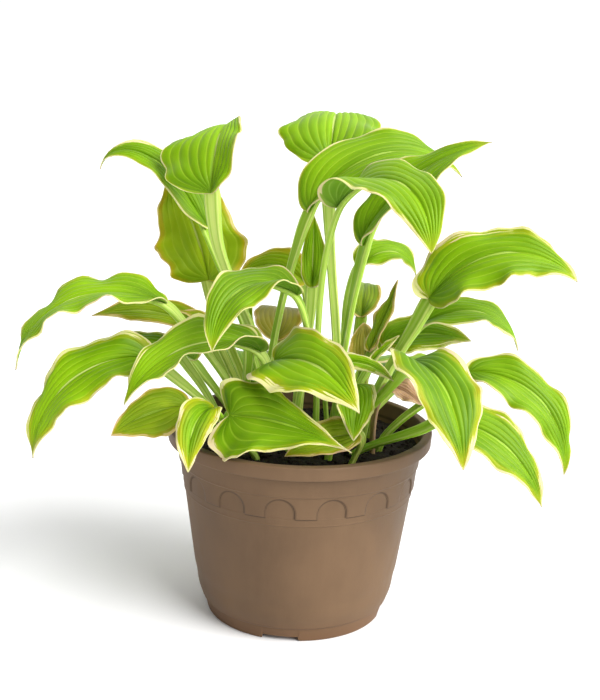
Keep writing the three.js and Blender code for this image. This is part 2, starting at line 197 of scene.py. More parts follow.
def bumpFrom(tree, height, strength, distance):
    feeds = {"Height": height, "Strength": strength, "Distance": distance}
    return addNode(tree, "ShaderNodeBump", feeds).outputs["Normal"]


def colour(red, green, blue):
    linear = [((c / 255 + 0.055) / 1.055) ** 2.4 if c > 10 else c / 255 / 12.92 for c in (red, green, blue)]
    return (*linear, 1)


addCamera(cameraSettings)
addStudio(studioSettings)
print("camera, light and floor placed")


# Leaf colours. The blade carries attributes: edge is the distance to its margin in mm and border
# the width of the pale margin there, veins counts the veins out from the midrib, along runs from
# base to tip, tone differs from leaf to leaf and is lowered as painted shade on leaves that the key
# light catches too brightly, and yellow is how far a leaf has begun to turn.

leafPattern = {
    "veinWidth": 0.16, "veinStrength": 0.3,       # widths are shares of the space between veins
    "midribWidth": 0.22, "midribStrength": 0.4,
    "hairlines": 4, "hairlineWidth": 0.4,         # how many to a vein
    "hairlineStrength": 0.02, "hairlineDepth": 0.03,
    "ownTone": 0.15,                              # how much a leaf's tone, painted shade included, brightens it
    "jag": (-0.7, 1.0),                           # what streaks add to the margin, as a share of it
    "bandWidth": 2.5, "turningBand": 6,           # mm beside the margin, and more on a turning leaf
    "bandStronger": 0.45, "rust": 0.55,           # on a turning leaf
    "tipStrength": 0.8, "tip": (120, 95, 50),
}


def buildVariegation():
    p = leafPattern
    inputs = [
        ("Deep", "NodeSocketColor", colour(74, 116, 2)),
        ("Bright", "NodeSocketColor", colour(127, 169, 4)),
        ("Vein", "NodeSocketColor", colour(176, 204, 56)),
        ("Margin", "NodeSocketColor", colour(212, 208, 142)),
        ("Blush", "NodeSocketColor", colour(206, 190, 148)),
        ("Band", "NodeSocketColor", colour(166, 166, 20)),
        ("Rust", "NodeSocketColor", colour(162, 116, 36)),
        ("Band Strength", "NodeSocketFloat", 0.5),
    ]
    outputs = [("Color", "NodeSocketColor"), ("Height", "NodeSocketFloat"), ("Rough", "NodeSocketFloat")]
    tree, fed, out = newGroup("variegation", inputs, outputs)
    traits = ("edge", "border", "veins", "along", "tone", "yellow")
    edge, border, veins, along, tone, yellow = (attributeOf(tree, trait) for trait in traits)
    alongVeins = joinXyz(tree, times(tree, veins, 1.6), times(tree, along, 2.6), tone)
    onBlade = joinXyz(tree, times(tree, veins, 0.3), times(tree, along, 2.0), tone)
    streaks = noiseOf(tree, alongVeins, 1.6, 3.0, 0.6)
    clouds = noiseOf(tree, onBlade, 1.1, 2.0)
    patches = noiseOf(tree, onBlade, 2.3, 3.0)

    fromVein = maths(tree, "PINGPONG", veins, 0.5)
    fromHairline = maths(tree, "PINGPONG", times(tree, veins, p["hairlines"]), 0.5)
    line = ease(tree, fromVein, 0.0, p["veinWidth"], 1.0, 0.0)
    midrib = ease(tree, maths(tree, "ABSOLUTE", veins), 0.02, p["midribWidth"], 1.0, 0.0)
    hairline = ease(tree, fromHairline, 0.0, p["hairlineWidth"], 1.0, 0.0)

    brightness = plus(tree, ease(tree, clouds, 0.3, 0.7, 0.0, 0.5), ease(tree, along, 0.0, 0.3, 0.0, 0.4))
    brightness = plus(tree, brightness, times(tree, tone, p["ownTone"]))
    brightness = plus(tree, brightness, ease(tree, streaks, 0.3, 0.8, -0.04, 0.06))
    green = blendColour(tree, brightness, fed.outputs["Deep"], fed.outputs["Bright"])
    for part, name in ((hairline, "hairline"), (line, "vein"), (midrib, "midrib")):
        green = blendColour(tree, times(tree, part, p[name + "Strength"]), green, fed.outputs["Vein"])

    jag = times(tree, ease(tree, streaks, 0.3, 0.75, *p["jag"]), border)
    past = maths(tree, "SUBTRACT", maths(tree, "SUBTRACT", edge, jag), border)
    bandWidth = plus(tree, times(tree, yellow, p["turningBand"]), p["bandWidth"])
    band = ease(tree, maths(tree, "DIVIDE", past, bandWidth), -0.2, 1.0, 1.0, 0.0)
    bandShare = plus(tree, fed.outputs["Band Strength"], times(tree, yellow, p["bandStronger"]))
    tip = ease(tree, along, 0.84, 1.0)
    bandShare = times(tree, maths(tree, "MAXIMUM", band, tip), bandShare)
    green = blendColour(tree, bandShare, green, fed.outputs["Band"])
    scorch = times(tree, ease(tree, patches, 0.52, 0.66), times(tree, band, yellow))
    green = blendColour(tree, times(tree, scorch, p["rust"]), green, fed.outputs["Rust"])
    cream = blendColour(tree, ease(tree, clouds, 0.4, 0.65), fed.outputs["Margin"], fed.outputs["Blush"])
    outermost = ease(tree, edge, 0.2, 0.55, 1.0, 0.0)
    rim = maths(tree, "MAXIMUM", ease(tree, past, -0.4, 0.25, 1.0, 0.0), outermost)
    painted = blendColour(tree, rim, green, cream)
    withered = ease(tree, along, 0.985, 1.0, 0.0, p["tipStrength"])
    painted = blendColour(tree, withered, painted, colour(*p["tip"]))

    bothLines = maths(tree, "MAXIMUM", line, midrib)
    height = plus(tree, bothLines, times(tree, hairline, p["hairlineDepth"]))
    tree.links.new(painted, out.inputs["Color"])
    tree.links.new(times(tree, height, -1.0), out.inputs["Height"])
    tree.links.new(ease(tree, clouds, 0.3, 0.7, 0.4, 0.52), out.inputs["Rough"])
    return tree


leafFinishes = {
    "leaf": {
        "top": {},
        "under": {
            "Deep": (82, 126, 22), "Bright": (120, 162, 42), "Vein": (164, 192, 88),
            "Band": (164, 176, 70), "Band Strength": 0.3,
        },
    },
    "olive": {
        "top": {
            "Deep": (88, 120, 8), "Bright": (140, 162, 20), "Vein": (168, 180, 62),
            "Margin": (206, 184, 120), "Blush": (196, 164, 126), "Band": (168, 146, 30),
            "Band Strength": 0.75,
        },
        "under": {
            "Deep": (100, 130, 28), "Bright": (144, 166, 50), "Vein": (176, 188, 92),
            "Margin": (200, 180, 124), "Blush": (190, 162, 124), "Band": (160, 142, 46),
            "Band Strength": 0.6,
        },
    },
    # Lighter greens: a leaf turning yellow, and painted light for the light that shines through these
    # backlit leaves
    "turningLitThrough": {
        "top": {
            "Deep": (104, 142, 6), "Bright": (156, 178, 14), "Vein": (184, 198, 60),
            "Margin": (212, 196, 130), "Blush": (204, 174, 122), "Band": (190, 162, 26),
            "Band Strength": 0.6,
        },
        "under": {
            "Deep": (112, 148, 14), "Bright": (158, 180, 26), "Vein": (186, 198, 70),
            "Margin": (212, 196, 130), "Blush": (204, 174, 122), "Band": (190, 162, 34),
            "Band Strength": 0.6,
        },
    },
    "faded": {
        "top": {
            "Deep": (104, 104, 22), "Bright": (146, 136, 40), "Vein": (166, 156, 70),
            "Margin": (200, 176, 120), "Blush": (184, 152, 108), "Band": (164, 132, 34),
            "Band Strength": 0.7,
        },
        "under": {
            "Deep": (110, 108, 30), "Bright": (150, 138, 50), "Vein": (170, 160, 78),
            "Margin": (196, 172, 118), "Blush": (182, 150, 108), "Band": (160, 130, 44),
            "Band Strength": 0.6,
        },
    },
    "dried": {
        "top": {
            "Deep": (140, 102, 78), "Bright": (180, 142, 112), "Vein": (196, 162, 130),
            "Margin": (196, 168, 138), "Blush": (190, 154, 128), "Band": (170, 134, 98),
        },
        "under": {
            "Deep": (134, 98, 74), "Bright": (172, 136, 108), "Vein": (190, 156, 124),
            "Margin": (190, 162, 132), "Blush": (184, 150, 124), "Band": (164, 130, 96),
        },
    },
}

stalkFinishes = {
    "leaf": {"pale": (204, 220, 122), "green": (140, 182, 40)},
    "olive": {"pale": (188, 198, 100), "green": (120, 152, 34)},
    "turningLitThrough": {"pale": (196, 208, 108), "green": (134, 166, 36)},
    "faded": {"pale": (188, 190, 104), "green": (126, 142, 40)},
    "dried": {"pale": (190, 158, 128), "green": (154, 118, 90)},
}


bladeFinish = {
    "topSheen": 0.3, "underSheen": 0.2, "tint": (0.9, 1, 0.5, 1),
    "glow": 0.25, "glowColour": (0.7, 1.0, 0.1), "glowDepth": 1.5,    # mm, as all depths here
    "cells": 900, "cellShare": 0.15, "bump": 0.25, "bumpDepth": 0.3,
}

stalkFinish = {
    "sheen": 0.3, "tint": (0.9, 1, 0.6, 1),
    "glow": 0.3, "glowColour": (0.7, 1.0, 0.2), "glowDepth": 2,
    "bump": 0.4, "bumpDepth": 0.6, "ownTone": 0.2,
    "rimAt": 0.27, "rimWidth": 0.12, "rimPale": 0.55,                 # the edges of the groove
    "foot": (110, 130, 50), "footStrength": 0.45, "footReach": 0.16,
}


# A tinted gloss, and some light that passes below the surface
def livingSurface(shader, finish, sheen):
    shader.inputs["Specular IOR Level"].default_value = sheen
    shader.inputs["Specular Tint"].default_value = finish["tint"]
    shader.inputs["Subsurface Weight"].default_value = finish["glow"]
    shader.inputs["Subsurface Radius"].default_value = finish["glowColour"]
    shader.inputs["Subsurface Scale"].default_value = finish["glowDepth"] * mm


def bladeMaterial(name, variegation, values, sheen):
    f = bladeFinish
    material, tree, shader = newMaterial(name)
    pattern = addNode(tree, "ShaderNodeGroup", node_tree=variegation)
    for socketName, value in values.items():
        pattern.inputs[socketName].default_value = colour(*value) if isinstance(value, tuple) else value
    place = addNode(tree, "ShaderNodeTexCoord").outputs["Object"]
    cells = noiseOf(tree, place, f["cells"], 2.0)
    height = plus(tree, pattern.outputs["Height"], times(tree, cells, f["cellShare"]))
    tree.links.new(pattern.outputs["Color"], shader.inputs["Base Color"])
    tree.links.new(pattern.outputs["Rough"], shader.inputs["Roughness"])
    tree.links.new(bumpFrom(tree, height, f["bump"], f["bumpDepth"] * mm), shader.inputs["Normal"])
    livingSurface(shader, f, sheen)
    return material


def stalkMaterial(name, tones):
    f = stalkFinish
    material, tree, shader = newMaterial(name)
    around, along, tone = (attributeOf(tree, part) for part in ("around", "along", "tone"))
    lengthwise = joinXyz(tree, times(tree, around, 9.0), times(tree, along, 1.5), tone)
    streaks = noiseOf(tree, lengthwise, 1.0, 3.0)
    fromRim = maths(tree, "ABSOLUTE", maths(tree, "SUBTRACT", around, f["rimAt"]))
    rims = ease(tree, fromRim, 0.0, f["rimWidth"], f["rimPale"], 0.0)
    pale = plus(tree, ease(tree, streaks, 0.35, 0.7, 0.1, 0.75), rims)
    pale = plus(tree, pale, times(tree, tone, f["ownTone"]))
    painted = blendColour(tree, pale, colour(*tones["green"]), colour(*tones["pale"]))
    nearFoot = ease(tree, along, 0.0, f["footReach"], f["footStrength"], 0.0)
    painted = blendColour(tree, nearFoot, painted, colour(*f["foot"]))
    tree.links.new(painted, shader.inputs["Base Color"])
    tree.links.new(ease(tree, streaks, 0.3, 0.7, 0.36, 0.48), shader.inputs["Roughness"])
    tree.links.new(bumpFrom(tree, streaks, f["bump"], f["bumpDepth"] * mm), shader.inputs["Normal"])
    livingSurface(shader, f, f["sheen"])
    return material


variegation = buildVariegation()
leafMaterials = {}
for kind, sides in leafFinishes.items():
    leafMaterials[kind] = [
        bladeMaterial(kind + "BladeTop", variegation, sides["top"], bladeFinish["topSheen"]),
        bladeMaterial(kind + "BladeUnder", variegation, sides["under"], bladeFinish["underSheen"]),
        stalkMaterial(kind + "Stalk", stalkFinishes[kind]),
    ]
print("leaf materials built")


# Leaves. The values are those of the solids, in mm and degrees: foot in the soil, base of the
# blade, heading and climb of the midrib there, how far it falls and swings by the tip. A pair is
# for the left and the right half. From pleat on they are for the looks, and the darkening value
# paints shade into a leaf that the key light catches too brightly.

leafUsual = {
    "swing": 0, "late": 1, "lobe": (0.3, 0.3), "fold": (25, 25), "curl": (0, 0), "taper": 0.6,
    "widestAt": 0.36, "roll": 0, "cup": 0.15, "wave": 3, "waves": 2.5, "scallop": 0.03, "stalk": 2.6,
    "kind": "leaf", "pleat": 0.5, "veins": 5, "margin": (1.2, 1.2), "yellow": 0.0,
    "paintedShade": 0,
}

leaves = {
    "top_left_fan": {
        "foot": (-15, 10), "base": (-70, 5, 315), "heading": 85, "swing": -10, "climb": 78, "fall": 30,
        "late": 1.4, "length": 88, "width": (43, 20), "lobe": (0.2, 0), "fold": (10, 25), "taper": 0.5,
        "roll": -20, "wave": 3, "stalk": 3.2, "pleat": 0.8, "veins": 6, "margin": (0.9, 0.9),
    },
    "top_left_curled": {
        "foot": (-25, 22), "base": (-75, 40, 285), "heading": 170, "climb": 55, "fall": 80, "late": 3,
        "length": 116, "width": (16, 16), "roll": -30, "cup": 0.2, "wave": 2, "waves": 2, "stalk": 2.8,
        "margin": (0.7, 1.6),
    },
    "left_tall": {
        "foot": (-35, 35), "base": (-75, 60, 240), "heading": 180, "climb": 78, "fall": -60, "length": 88,
        "width": (32, 34), "lobe": (0.2, 0.7), "fold": (0, 15), "taper": 0.5, "roll": -80, "cup": 0.2,
        "wave": 4, "waves": 3, "scallop": 0.08, "stalk": 2.8, "kind": "turningLitThrough", "yellow": 0.5,
    },
    "back_small": {
        "foot": (-5, 30), "base": (0, 60, 240), "heading": 165, "climb": 50, "fall": 50, "length": 62,
        "width": (16, 16), "roll": -50, "wave": 1.5, "waves": 2, "stalk": 2.2, "kind": "turningLitThrough",
        "yellow": 0.6,
    },
    "centre_arch": {
        "foot": (-5, -17), "base": (-5, -30, 250), "heading": 195, "swing": 55, "climb": 35, "fall": 90,
        "late": 1.1, "length": 100, "width": (22, 20), "fold": (70, 20), "taper": 0.65, "roll": -20,
        "stalk": 2.8, "margin": (0.9, 1.1),
    },
    "centre_upright": {
        "foot": (-2, 0), "base": (5, 0, 250), "heading": 90, "climb": 85, "fall": -80, "length": 52,
        "width": (9, 10), "cup": 0.3, "wave": 1, "waves": 1.5, "stalk": 2.2,
        "margin": (0.5, 0.5),
    },
    "top_centre": {
        "foot": (30, 22), "base": (15, 35, 335), "heading": 85, "climb": 65, "fall": 40, "late": 1.1,
        "length": 100, "width": (39, 37), "curl": (-35, -15), "taper": 0.5, "roll": 3, "cup": 0.12,
        "scallop": 0.05, "stalk": 3, "pleat": 0.8, "veins": 6, "margin": (0.6, 0.8),
    },
    "top_long": {
        "foot": (-28, 2), "base": (0, 0, 305), "heading": 5, "swing": 15, "climb": 60, "fall": 45,
        "late": 1.2, "length": 138, "width": (24, 19), "lobe": (0.2, 0.2), "fold": (40, 40), "roll": 35,
        "stalk": 2.8, "margin": (0.8, 0.8),
    },
    "top_right": {
        "foot": (26, 4), "base": (40, -20, 285), "heading": -5, "swing": 15, "climb": 75, "fall": -10,
        "late": 0.9, "length": 122, "width": (19, 22), "lobe": (0.1, 0.1), "fold": (50, 50), "taper": 0.7,
        "roll": 30, "cup": 0.2, "stalk": 3.2, "margin": (0.6, 0.6),
    },
    "top_drooping": {
        "foot": (12, 6), "base": (20, -45, 315), "heading": -25, "swing": -45, "climb": 60, "fall": 85,
        "length": 118, "width": (24, 30), "fold": (15, 70), "taper": 0.55, "roll": 20, "cup": 0.12,
        "stalk": 2.8, "pleat": 0.6, "margin": (0.7, 1.8),
    },
    "right_behind": {
        "foot": (35, 33), "base": (40, 35, 260), "heading": 15, "climb": 45, "fall": 85, "late": 1.3,
        "length": 60, "width": (14, 12), "roll": 35, "wave": 2.5, "waves": 2, "stalk": 2.2,
        "margin": (1.6, 0.8),
    },
    "right_high": {
        "foot": (45, 0), "base": (90, -5, 245), "heading": -5, "climb": 55, "fall": 50, "late": 1.3,
        "length": 125, "width": (26, 30), "lobe": (0.5, 0.3), "fold": (35, 20), "taper": 0.55, "roll": 40,
        "cup": 0.12, "wave": 4, "waves": 3, "scallop": 0.05, "stalk": 3.6, "pleat": 0.7,
        "margin": (3.6, 0.9), "yellow": 0.35,
    },
    "right_middle": {
        "foot": (52, 14), "base": (85, 15, 220), "heading": 5, "climb": 30, "fall": 80, "late": 1.5,
        "length": 95, "width": (17, 17), "roll": 25, "wave": 2.5,
    },
    "right_inner": {
        "foot": (42, 26), "base": (60, 35, 200), "heading": 5, "climb": 25, "fall": 20, "length": 72,
        "width": (17, 17), "roll": 45, "wave": 2, "margin": (1.2, 2.4), "yellow": 0.4,
    },
    "right_hanging": {
        "foot": (57, -10), "base": (120, -20, 195), "heading": -10, "swing": -20, "climb": 10, "fall": 95,
        "length": 118, "width": (18, 22), "taper": 0.65, "roll": 35, "wave": 3.5, "waves": 3,
        "scallop": 0.06, "stalk": 2.8, "margin": (1.2, 0.9),
    },
    "front_right": {
        "foot": (34, -10), "base": (75, -40, 205), "heading": -65, "climb": 25, "fall": 85, "late": 0.9,
        "length": 112, "width": (27, 28), "fold": (25, 40), "taper": 0.55, "cup": 0.12, "stalk": 3,
        "margin": (2.4, 1.6), "yellow": 0.7, "paintedShade": 3.5,
    },
    "right_low": {
        "foot": (34, -28), "base": (100, -55, 170), "heading": -15, "climb": 0, "fall": 75,
        "length": 100, "width": (20, 22), "taper": 0.65, "roll": 35, "cup": 0.12, "wave": 2.5,
        "margin": (2, 1), "yellow": 0.4, "paintedShade": 1.5,
    },
    "front_heart": {
        "foot": (-6, -32), "base": (-20, -45, 205), "heading": -45, "climb": 25, "fall": 50,
        "length": 92, "width": (27, 34), "lobe": (1, 0.8), "fold": (10, 25), "taper": 0.52,
        "widestAt": 0.3, "roll": 35, "cup": 0.1, "scallop": 0.05, "stalk": 2.8, "margin": (2.2, 3.4),
        "yellow": 0.7,
    },
    "front_low": {
        "foot": (-28, -42), "base": (-50, -65, 170), "heading": -30, "swing": 15, "climb": 10, "fall": 25,
        "length": 95, "width": (27, 32), "lobe": (1, 1), "fold": (15, 10), "taper": 0.55,
        "widestAt": 0.22, "roll": 55, "cup": 0.1, "wave": 4, "waves": 3, "scallop": 0.06, "stalk": 2.8,
        "margin": (1.5, 1.8), "yellow": 0.2,
    },
    "front_folded": {
        "foot": (-44, -30), "base": (-60, -65, 175), "heading": 235, "swing": 40, "climb": 10, "fall": 85,
        "length": 62, "width": (13, 14), "roll": -20, "cup": 0.3, "wave": 2, "waves": 2, "stalk": 2.4,
        "margin": (1.5, 1.5), "yellow": 0.8, "paintedShade": 2.5,
    },
    "left_front_arch": {
        "foot": (-18, -18), "base": (-30, -20, 205), "heading": 200, "swing": 5, "climb": 30, "fall": 65,
        "length": 120, "width": (25, 22), "fold": (60, 15), "curl": (50, 0), "roll": -35, "cup": 0.12,
        "wave": 3.5, "waves": 3, "stalk": 2.8, "margin": (1.4, 1.6),
    },
    "left_low": {
        "foot": (-55, -16), "base": (-80, -45, 170), "heading": 195, "climb": 0, "fall": 40, "length": 60,
        "width": (21, 16), "roll": -50, "wave": 1.5, "waves": 2, "stalk": 2.4, "kind": "olive",
        "margin": (2, 1),
    },
    "left_long": {
        "foot": (-50, -2), "base": (-110, -10, 195), "heading": 195, "climb": 10, "fall": 90,
        "length": 130, "width": (25, 22), "roll": -35, "wave": 4, "waves": 3, "scallop": 0.05, "stalk": 3,
        "margin": (1.3, 2.2), "yellow": 0.4,
    },
    "left_shaded": {
        "foot": (-57, 10), "base": (-95, 25, 190), "heading": 180, "climb": 20, "fall": 55, "length": 75,
        "width": (16, 16), "roll": -30, "wave": 2, "waves": 2, "stalk": 2.4,
    },
    "left_high": {
        "foot": (-38, 4), "base": (-100, -5, 235), "heading": 185, "climb": 20, "fall": 85, "late": 1.3,
        "length": 142, "width": (23, 22), "lobe": (0, 0.1), "roll": -15, "cup": 0.12, "wave": 4,
        "waves": 3.5, "scallop": 0.06, "stalk": 3, "margin": (1.1, 1.1),
    },
    "left_behind": {
        "foot": (-46, 24), "base": (-80, 30, 210), "heading": 175, "climb": 25, "fall": 20, "length": 85,
        "width": (13, 14), "roll": -35, "wave": 1.5, "waves": 2, "stalk": 2.4, "kind": "olive",
    },
    "left_narrow": {
        "foot": (-32, -8), "base": (-65, 10, 210), "heading": 175, "climb": 55, "fall": 0, "length": 35,
        "width": (7, 7), "roll": -20, "cup": 0.3, "wave": 1, "waves": 1.5, "stalk": 2, "kind": "olive",
    },
    "front_in_pot": {
        "foot": (36, -46), "base": (42, -54, 156), "heading": 200, "climb": 5, "fall": 30, "length": 58,
        "width": (14, 14), "roll": -45, "wave": 1, "waves": 2, "stalk": 2.4, "kind": "olive",
    },
    "front_under": {
        "foot": (20, -38), "base": (40, -45, 190), "heading": -95, "climb": -15, "fall": 70, "length": 48,
        "width": (14, 14), "wave": 2, "waves": 2, "stalk": 2.4,
    },
    "front_little": {
        "foot": (22, -18), "base": (25, -25, 200), "heading": -15, "climb": 15, "fall": 40, "length": 45,
        "width": (8, 8), "roll": 30, "cup": 0.25, "wave": 1, "waves": 1.5, "stalk": 2,
    },
    "dried": {
        "foot": (54, -22), "base": (65, -10, 180), "heading": -20, "climb": -10, "fall": 40, "length": 28,
        "width": (9, 8), "roll": 40, "cup": 0.3, "wave": 2, "waves": 2, "stalk": 1.8, "kind": "dried",
    },
    "back_right_olive": {
        "foot": (24, 40), "base": (45, 60, 215), "heading": 85, "climb": 50, "fall": 20, "length": 62,
        "width": (14, 14), "wave": 1.5, "waves": 2, "stalk": 2.2, "kind": "olive",
    },
    "right_curled": {
        "foot": (34, 12), "base": (50, 10, 200), "heading": 30, "climb": 60, "fall": -75, "length": 58,
        "width": (10, 9), "cup": 0.4, "wave": 1.5, "waves": 2, "stalk": 2.2, "kind": "olive",
    },
    "back_brown": {
        "foot": (44, 10), "base": (47, 20, 182), "heading": 90, "climb": 80, "fall": -10, "length": 46,
        "width": (12, 11), "cup": 0.2, "wave": 1, "waves": 1.5, "stalk": 2, "kind": "faded",
    },
    "back_left_olive": {
        "foot": (-20, 38), "base": (-20, 35, 200), "heading": 90, "climb": 50, "fall": 30, "length": 65,
        "width": (19, 19), "wave": 1.5, "waves": 2, "stalk": 2.4, "kind": "faded",
    },
    "right_narrow": {
        "foot": (22, -6), "base": (50, -5, 195), "heading": 10, "climb": 50, "fall": -40, "length": 30,
        "width": (5, 5), "roll": 20, "cup": 0.3, "wave": 0.5, "waves": 1, "stalk": 2,
    },
    "young_shoot": {
        "foot": (-44, 14), "base": (-40, 10, 210), "heading": 120, "climb": 85, "fall": -80, "length": 35,
        "width": (4, 4), "cup": 0.5, "wave": 0, "waves": 1, "stalk": 2.4,
    },
    "rear_left": {
        "foot": (-30, 50), "base": (-40, 55, 155), "heading": 100, "climb": 55, "fall": 90, "late": 1.3,
        "length": 85, "width": (24, 24), "cup": 0.12,
    },
    "rear_middle": {
        "foot": (-4, 52), "base": (0, 70, 180), "heading": 90, "climb": 20, "fall": 75, "length": 90,
        "width": (24, 24), "cup": 0.12,
    },
    "rear_right": {
        "foot": (24, 52), "base": (50, 75, 170), "heading": 65, "climb": 20, "fall": 75, "length": 85,
        "width": (20, 20), "cup": 0.12,
    },
    "rear_far_right": {
        "foot": (48, 40), "base": (85, 55, 175), "heading": 40, "climb": 15, "fall": 65, "length": 85,
        "width": (18, 19), "cup": 0.12, "wave": 2,
    },
    "rear_far_left": {
        "foot": (-48, 38), "base": (-85, 60, 175), "heading": 145, "climb": 15, "fall": 65, "length": 85,
        "width": (19, 19), "cup": 0.12, "wave": 2,
    },
}

bladeForm = {
    "thickness": 0.7,         # mm
    "lobeReach": 0.09,
    "cells": (46, 84),        # along and across a large blade
    "smallCells": (34, 56),   # where the width is below narrow, or the foot behind rear
    "narrow": 39, "rear": 50, # mm
    "crowding": 1.35,         # over 1 the rows of cells lie closer near the base
    "midribSteps": 160,
    "midribDepth": 0.9,       # mm, the groove over the midrib
    "midribWidth": 1.6,       # mm
    "fullPleat": 9,           # mm of half-width from which pleats have their whole depth
    "fineWave": 0.3,          # share of the main edge wave
    "fineScallop": 0.03,      # share of the half-width
    "unevenness": 1.6,        # mm
    "marginWander": 0.8,      # share of the margin's width
}

stalkForm = {
    "soilTop": 130, "depth": 9,   # mm
    "stations": 46, "sides": 16,
    "upright": 0.4,               # share of its height that pulls it straight up at first
    "towardsBlade": 0.3,          # share of its length that pulls it into the blade's direction
    "steeper": 0.9,               # how much steeper than the blade it arrives
    "slimmer": 0.08,              # share of the radius, halfway up
    "groove": 0.55,               # share of the radius
    "grooveWidth": 0.55,          # radians
    "grooveStarts": (12, 25),     # mm from the foot, and mm until it has its whole depth
    "fadesAt": 0.8,               # share of the midrib where the rib under the blade ends
    "thinnest": 0.15,             # mm
    "broad": 1.25,                # how much broader than deep a stalk is
    "wing": 0.9,                  # how much more it widens where it meets the blade
    "wingLength": (35, 9),        # mm of stalk below the blade and of rib beyond its base
}


def frameAt(leaf, t):
    turn = math.radians(leaf["heading"] + leaf["swing"] * t)
    slope = math.radians(leaf["climb"] - (leaf["climb"] + leaf["fall"]) * t ** leaf["late"])
    flat = Vector((math.cos(turn), math.sin(turn), 0))
    up = Vector((0, 0, 1))
    along = flat * math.cos(slope) + up * math.sin(slope)
    upper = up * math.cos(slope) - flat * math.sin(slope)
    upper.rotate(Quaternion(along, math.radians(leaf["roll"])))
    return along, upper, upper.cross(along)


class Midrib:
    def __init__(self, leaf):
        steps = bladeForm["midribSteps"]
        self.frames = [frameAt(leaf, i / steps) for i in range(steps + 1)]
        self.places = [Vector(leaf["base"])]
        for i in range(steps):
            along = frameAt(leaf, (i + 0.5) / steps)[0]
            self.places.append(self.places[i] + along * leaf["length"] / steps)

    def at(self, t):
        steps = bladeForm["midribSteps"]
        spot = min(max(t, 0), 1) * steps
        i = min(int(spot), steps - 1)
        share = spot - i
        place = self.places[i].lerp(self.places[i + 1], share)
        return place, [a.lerp(b, share) for a, b in zip(self.frames[i], self.frames[i + 1])]


# Half-width as a share of the widest, from the base to the pointed tip
def outline(leaf, u):
    widest = leaf["widestAt"]
    fall = leaf["taper"] * (1 - widest) / widest
    return (u / widest) ** leaf["taper"] * ((1 - u) / (1 - widest)) ** fall


# The inner veins leave the midrib further up, so a point's place between the veins is found by turns
def veinShare(u, side):
    share = side
    for _ in range(14):
        found = min(1, side / max(0.02, 1 - math.exp(-u / (0.03 + 0.15 * (1 - share)))))
        share = (share + found) / 2
    return share


# Across, each side is an arc that leaves the midrib at the angle start and bends by bend to the edge
def addBlade(shape, layers, leaf, midrib, phase):
    f = bladeForm
    small = sum(leaf["width"]) < f["narrow"] or leaf["foot"][1] >= f["rear"]
    cells = f["smallCells" if small else "cells"]
    sheet = bmesh.ops.create_grid(shape, x_segments=cells[0], y_segments=cells[1], size=0.5)["verts"]
    for vert in sheet:
        u = (vert.co.x + 0.5) ** f["crowding"]
        v = -2 * vert.co.y
        side = abs(v)
        hand = 0 if v < 0 else 1
        back = 8 * f["lobeReach"] * leaf["lobe"][hand] * side ** 1.6 * math.sqrt(u) * (1 - u) ** 3
        t = u - back
        place, (along, upper, left) = midrib.at(t)
        place = place + along * min(0, t) * leaf["length"]
        broad = outline(leaf, u)
        turn = math.tau * leaf["waves"] * u + phase + 2.1 * hand
        fineTurn = 2.3 * turn + 3 * noise.noise(Vector((u * 3, hand, phase)))
        half = leaf["width"][hand] * broad * (1 + leaf["scallop"] * math.cos(turn) * side)
        half *= 1 + f["fineScallop"] * math.cos(fineTurn) * side ** 3
        start = math.radians(90 * leaf["cup"] + leaf["fold"][hand] * (1 - u) ** 3)
        bend = math.radians(leaf["curl"][hand] - 150 * leaf["cup"])
        slope = start + bend * side
        ripple = leaf["wave"] * math.sqrt(broad) * math.sin(turn) * side * side
        ripple += leaf["wave"] * math.sqrt(broad) * f["fineWave"] * math.sin(fineTurn) * side ** 4
        share = veinShare(u, side) * leaf["veins"]
        fullness = min(1, half / f["fullPleat"]) * (1 - side ** 6)
        ripple += leaf["pleat"] * fullness * (abs(math.sin(math.pi * share)) ** 0.8 - 0.5)
        ripple -= f["midribDepth"] * min(1, broad) * math.exp(-(side * half / f["midribWidth"]) ** 2)
        ripple += f["unevenness"] * broad * side * noise.noise(Vector((u * 5, v * 2.2, phase)))
        out = half * (math.sin(slope) - math.sin(start)) / bend - ripple * math.sin(slope)
        lift = half * (math.cos(start) - math.cos(slope)) / bend + ripple * math.cos(slope)
        wander = 1 + f["marginWander"] * noise.noise(Vector((u * 5, 4 * hand, phase + 7)))
        vert[layers["edge"]] = (1 - side) * half
        vert[layers["veins"]] = math.copysign(share, v)
        vert[layers["along"]] = u
        vert[layers["border"]] = leaf["margin"][hand] * wander * min(1, 0.4 + 1.5 * broad)
        vert.co = place + left * (out if hand == 0 else -out) + upper * lift
    bmesh.ops.remove_doubles(shape, verts=sheet, dist=0.002)
    shape.normal_update()
    for vert in shape.verts:
        vert.co += vert.normal * f["thickness"] / 2
    under = bmesh.ops.solidify(shape, geom=shape.faces[:], thickness=f["thickness"])["geom"]
    for face in under:
        if isinstance(face, bmesh.types.BMFace):
            face.material_index = 1


# A smooth curve through the points, with its steps spaced by the root of the distances
def smoothPath(points, count):
    knots = [0.0]
    for before, after in zip(points, points[1:]):
        knots.append(knots[-1] + math.sqrt((after - before).length))
    ends = [2 * points[0] - points[1], *points, 2 * points[-1] - points[-2]]
    marks = [2 * knots[0] - knots[1], *knots, 2 * knots[-1] - knots[-2]]
    path = []
    piece = 1
    for step in range(count + 1):
        mark = knots[-1] * step / count
        while piece < len(points) - 1 and mark > marks[piece + 1]:
            piece += 1
        level = ends[piece - 1:piece + 3]
        spots = marks[piece - 1:piece + 3]
        for width in (1, 2, 3):
            level = [
                level[i] + (level[i + 1] - level[i]) * blendShare(mark, spots, i, width)
                for i in range(len(level) - 1)
            ]
        path.append(level[0])
    return path


def blendShare(mark, spots, i, width):
    if width == 1:
        low, high = spots[i], spots[i + 1]
    elif width == 2:
        low, high = spots[i], spots[i + 2]
    else:
        low, high = spots[1], spots[2]
    return (mark - low) / (high - low)


